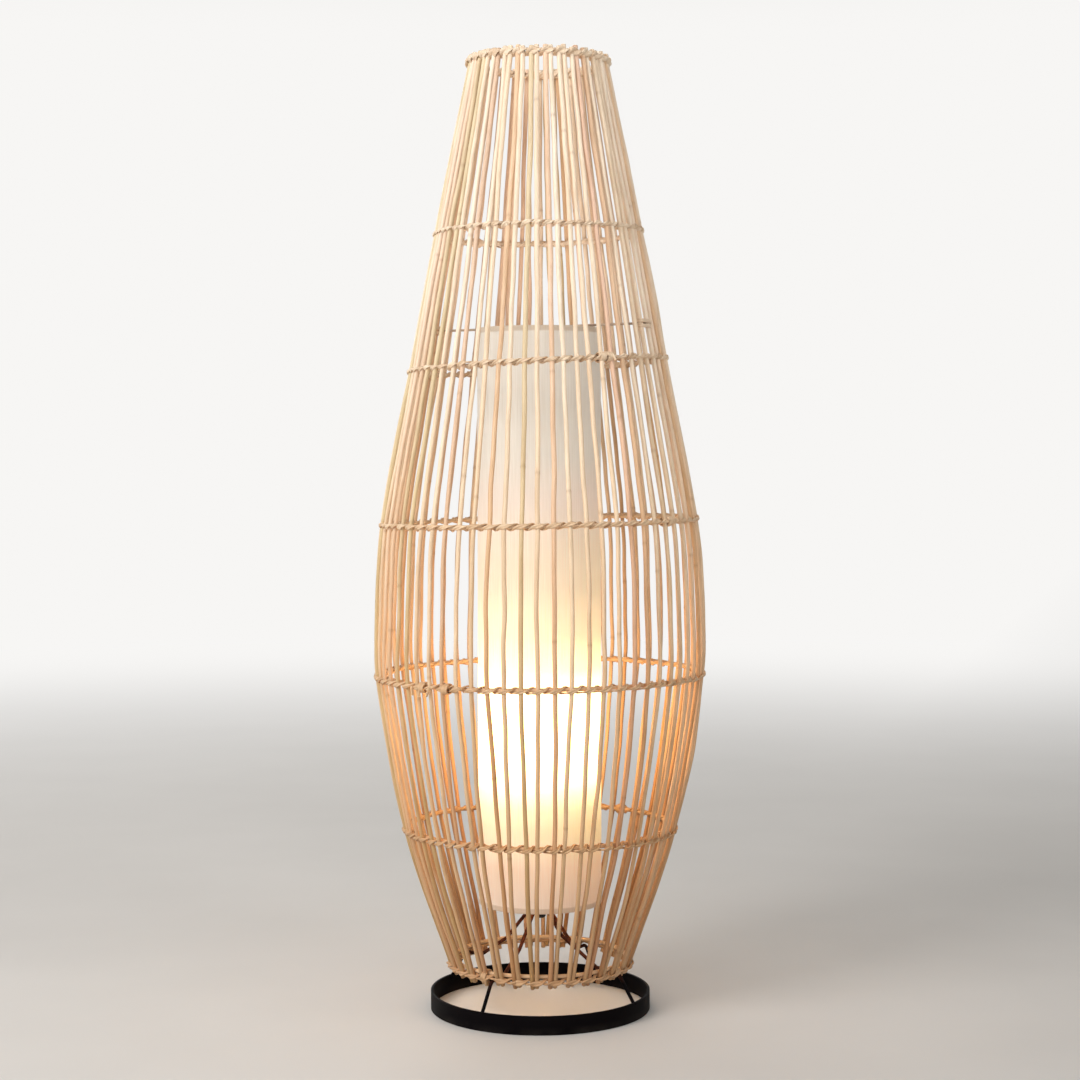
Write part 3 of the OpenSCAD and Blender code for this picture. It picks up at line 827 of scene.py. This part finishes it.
def build_shade(look):
    """One sheet of laminated cloth rolled to a cylinder, lapped at the back, with stiffened hems."""
    low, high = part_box("shade_fabric")
    outer, foot, top = high[0], low[2], high[2]
    thick, hem, lap = 0.6 * MM, 7 * MM, 11 * MM
    seam_azimuth = 158
    turns = np.linspace(0, 2 * math.pi + lap / outer, 300)
    edge = np.array([0, 0.4, 1.2, 3, 5.4, 6.6, 7.2, 8.4]) * MM
    z = np.concatenate([foot + edge, np.linspace(foot + 14 * MM, top - 14 * MM, 120), (top - edge)[::-1]])
    t, h = np.meshgrid(turns, z, indexing="ij")
    from_edge = np.minimum(h - foot, top - h)
    doubled = np.clip((hem - from_edge) / (0.8 * MM), 0, 1)
    rounding = 0.35 * MM * np.clip(1 - from_edge / (1.0 * MM), 0, 1) ** 2
    # the sheet's far end climbs over its near end
    climb = 0.5 * thick * (1 - np.cos(np.pi * np.clip((t - 2 * math.pi + 0.07) / 0.07, 0, 1)))
    wave = 0.14 * MM * np.sin(3 * t + 2.1) * np.sin(math.pi * (h - foot) / (top - foot))
    wave += 0.07 * MM * np.sin(11 * t + 9 * h) * np.sin(math.pi * (h - foot) / (top - foot))
    skin = outer - thick - 0.05 * MM + climb + wave
    azimuth = seam_azimuth + np.degrees(t)
    direction = radial(azimuth.ravel()).reshape(*t.shape, 3)
    lift = UP * h[..., None]
    outside = direction * (skin + thick + 0.25 * MM * doubled - rounding)[..., None] + lift
    inside = direction * (skin + rounding)[..., None] + lift
    n, m = t.shape
    back = n * m
    i, k = np.meshgrid(np.arange(n - 1), np.arange(m - 1), indexing="ij")
    a = (i * m + k).ravel()
    wall_quads = np.stack([a, a + m, a + m + 1, a + 1], -1)

    def rim(first, step, inward):
        """Faces from the outside to the inside, along an edge whose points are step apart."""
        loop = [first, first + back, first + back + step, first + step]
        return np.stack(loop if inward else loop[:1] + loop[:0:-1], -1)

    along, up = np.arange(n - 1) * m, np.arange(m - 1)
    rims = [rim(along, m, True), rim(along + m - 1, m, False)]
    rims += [rim(up, 1, False), rim(up + (n - 1) * m, 1, True)]
    quads = np.concatenate([wall_quads, wall_quads[:, ::-1] + back, *rims])
    form = Form()
    points = np.concatenate([outside.reshape(-1, 3), inside.reshape(-1, 3)])
    grain = np.stack([t * outer, h, np.zeros_like(t)], -1).reshape(-1, 3)
    form.add(points, quads, grain=np.concatenate([grain, grain]), cut=np.tile(doubled.ravel(), 2),
             knot=np.repeat([0.0, 1.0], len(grain)))
    piece = form.make("shade_cloth", look)
    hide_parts("shade_fabric")
    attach(piece, "stand")


def dress(nodes, look, bevel=0.0):
    """Gives CAD nodes their material, and rounds their edges where bevel is a width."""
    for name in nodes:
        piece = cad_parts[name]
        piece.data.materials.clear()
        piece.data.materials.append(look)
        if bevel:
            rounding = piece.modifiers.new("edges", "BEVEL")
            rounding.width = bevel
            rounding.segments = 3
            rounding.limit_method = "ANGLE"
            rounding.angle_limit = math.radians(40)
            rounding.harden_normals = True


# ---------------------------------------------------------------- the studio
HORIZON = (0.93, 0.92, 0.905)
# How much light is left on the far right of the horizon and the sky
RIGHT_DIM = 0.36
FLOOR_R = 30


def build_studio():
    """A pale floor that fades into a bright horizon, under a dimmer sky, with soft lights."""
    floor_mesh = bpy.data.meshes.new("floor")
    turn = np.linspace(0, 2 * math.pi, 128, endpoint=False)
    rim = [(FLOOR_R * math.cos(a), FLOOR_R * math.sin(a), -0.4 * MM) for a in turn]
    floor_mesh.from_pydata(rim, [], [tuple(range(len(rim)))])
    floor = bpy.data.objects.new("floor", floor_mesh)
    bpy.context.scene.collection.objects.link(floor)
    look = Looks("pale_floor", Roughness=0.7, Specular_IOR_Level=0.2)
    place = look.place()
    patches = look.noise(place, 3, 3, 0.5)
    look.set(Base_Color=look.ramp(patches, (0.3, (0.66, 0.64, 0.61)), (0.7, (0.69, 0.67, 0.64))))
    away = look.node("VectorMath", {0: place}, operation="LENGTH").outputs["Value"]
    fade = look.node("MapRange", {"Value": away, "From Min": 0.6, "From Max": 5.5},
                     interpolation_type="SMOOTHERSTEP").outputs["Result"]
    right = look.math("DIVIDE", look.node("SeparateXYZ", {0: place}).outputs["X"], away)
    far = look.node("Emission", {"Color": HORIZON, "Strength": look.fit(right, 0.3, 1.0, 1.0, RIGHT_DIM)})
    blend = look.node("MixShader", {0: fade})
    look.tree.links.new(look.surface.outputs[0], blend.inputs[1])
    look.tree.links.new(far.outputs[0], blend.inputs[2])
    look.tree.links.new(blend.outputs[0], look.tree.nodes["Material Output"].inputs["Surface"])
    floor_mesh.materials.append(look.material)

    bpy.context.scene.world = build_sky()
    soft_light("key", (-2.4, -2.3, 2.4), 1.6, 82, (1.0, 0.98, 0.97))
    soft_light("front", (-0.4, -2.8, 1.8), 1.6, 9, (1.0, 0.99, 0.98))
    soft_light("top_right", (1.5, -1.1, 2.1), 0.8, 1.2, (1.0, 0.99, 0.97), aim=1.05, spread=50)
    soft_light("rim", (-0.9, 2.6, 2.4), 1.6, 16, (1.0, 0.98, 0.96))
    # the light that leaves the shade's open top, and the bulb's own
    soft_light("shade_mouth", (0, 0, 0.868), 0.1, 0.15, (1.0, 0.96, 0.95), aim=1.2)
    _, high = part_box("bulb_glass")
    bulb = bpy.data.lights.new("bulb", "POINT")
    bulb.energy, bulb.color, bulb.shadow_soft_size = 0.2, (1.0, 0.74, 0.42), 0.03
    lamp = bpy.data.objects.new("bulb_light", bulb)
    lamp.location = (0, 0, high[2] + 0.035)
    bpy.context.scene.collection.objects.link(lamp)


def build_sky():
    """White near the horizon, dimmer overhead and on the right."""
    world = bpy.data.worlds.new("studio")
    world.use_nodes = True
    tree = world.node_tree
    way = tree.nodes.new("ShaderNodeSeparateXYZ")
    tree.links.new(tree.nodes.new("ShaderNodeTexCoord").outputs["Generated"], way.inputs[0])
    spans = {"Z": (-1, 1, [(0.0, 0.5), (0.45, 1.0), (0.60, 1.0), (0.75, 0.5), (1.0, 0.42)]),
             "X": (0.3, 1, [(0.0, 1.0), (1.0, RIGHT_DIM)])}
    colour = HORIZON
    for axis, (low, high, stops) in spans.items():
        fit = tree.nodes.new("ShaderNodeMapRange")
        fit.inputs["From Min"].default_value, fit.inputs["From Max"].default_value = low, high
        tree.links.new(way.outputs[axis], fit.inputs["Value"])
        ramp = tree.nodes.new("ShaderNodeValToRGB")
        while len(ramp.color_ramp.elements) < len(stops):
            ramp.color_ramp.elements.new(0.5)
        for element, (at, value) in zip(ramp.color_ramp.elements, stops):
            element.position, element.color = at, (value, value, value, 1)
        tree.links.new(fit.outputs["Result"], ramp.inputs["Fac"])
        mix = tree.nodes.new("ShaderNodeMix")
        mix.data_type, mix.blend_type = "RGBA", "MULTIPLY"
        mix.inputs[0].default_value = 1
        tree.links.new(ramp.outputs["Color"], mix.inputs[6])
        if isinstance(colour, tuple):
            mix.inputs[7].default_value = (*colour, 1)
        else:
            tree.links.new(colour, mix.inputs[7])
        colour = mix.outputs[2]
    tree.links.new(colour, tree.nodes["Background"].inputs["Color"])
    return world


def soft_light(name, place, size, power, colour, aim=0.6, spread=180):
    """A square studio light turned to the lamp's axis at height aim."""
    light = bpy.data.lights.new(name, "AREA")
    light.energy, light.size, light.color, light.spread = power, size, colour, math.radians(spread)
    made = bpy.data.objects.new(name, light)
    made.location = place
    made.rotation_euler = (Vector((0, 0, aim)) - Vector(place)).to_track_quat("-Z", "Y").to_euler()
    bpy.context.scene.collection.objects.link(made)


def build_camera():
    """The photograph's view: level with the lamp's middle, a little tilted down."""
    camera = bpy.data.cameras.new("camera")
    camera.lens, camera.sensor_width = 70.57, 36
    made = bpy.data.objects.new("camera", camera)
    made.location = (0.001, -2.6694, 0.6964)
    made.rotation_euler = (math.radians(90 - 2.213), math.radians(0.12), 0)
    bpy.context.scene.collection.objects.link(made)
    bpy.context.scene.camera = made
    bpy.context.scene.view_settings.view_transform = "Standard"


# ---------------------------------------------------------------- everything
def build_cage():
    """The sticks, the hoops, the lashings and the bar's ties."""
    sticks = all_sticks()
    cane_look = cane_looks("rattan_cane", CANE_TINTS)
    # each foot is the tone of the painted shade at the bottom of the cage
    rod_look = cane_looks("rattan_rod", ROD_TINTS, foot=(0.84, 0.74, 0.62))
    peel_look = cane_looks("rattan_peel", PEEL_TINTS, streak=0.5, foot=(0.70, 0.57, 0.45))
    build_canes(sticks, cane_look)
    build_hoops(rod_look)
    build_lashings(sticks, peel_look)
    build_bar_ties(peel_look)


def dress_fittings(black):
    """The finishes of the CAD nodes that stay."""
    dress(["base_hoop"], black, 0.5 * MM)
    dress(["hub_collar"], black, 0.6 * MM)
    dress(["steady_bar"], plain_looks("dark_wire", srgb(196, 176, 156), srgb(150, 130, 112), 0.42))
    zinc = metal_looks("zinc_plate", srgb(196, 196, 192), srgb(160, 160, 158), 0.28)
    dress(["stem", "shade_spider", "shade_bottom_ring", "shade_top_ring"], zinc)
    dress(["lock_nuts"], zinc, 0.4 * MM)
    dress(["cord_gland"], plain_looks("gland_plastic", srgb(40, 40, 40), srgb(28, 28, 28), 0.5), 0.3 * MM)
    shell = plain_looks("holder_plastic", srgb(226, 222, 212), srgb(206, 200, 188), 0.38)
    dress(["holder_cap", "holder_shell"], shell, 0.4 * MM)
    dress(["holder_insert"], plain_looks("holder_ceramic", srgb(234, 231, 224), srgb(214, 209, 199), 0.6))
    brass = metal_looks("holder_brass", srgb(222, 184, 112), srgb(176, 136, 76), 0.26)
    dress(["holder_screw_shell", "holder_contact"], brass)
    tin = metal_looks("cap_metal", srgb(208, 206, 200), srgb(166, 164, 160), 0.3)
    dress(["bulb_cap", "bulb_contact"], tin)
    dress(["bulb_insulator"], plain_looks("black_glass", srgb(24, 22, 26), srgb(14, 12, 16), 0.12))
    dress(["bulb_glass", "bulb_mount"], glass_looks())
    dress(["bulb_filament"], metal_looks("filament", srgb(255, 190, 110), srgb(240, 150, 80), 0.4))


def main():
    build_camera()
    build_studio()
    build_cage()
    black = steel_looks()
    build_legs(black)
    low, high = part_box("shade_fabric")
    build_shade(fabric_looks(low[2], high[2]))
    dress_fittings(black)


main()
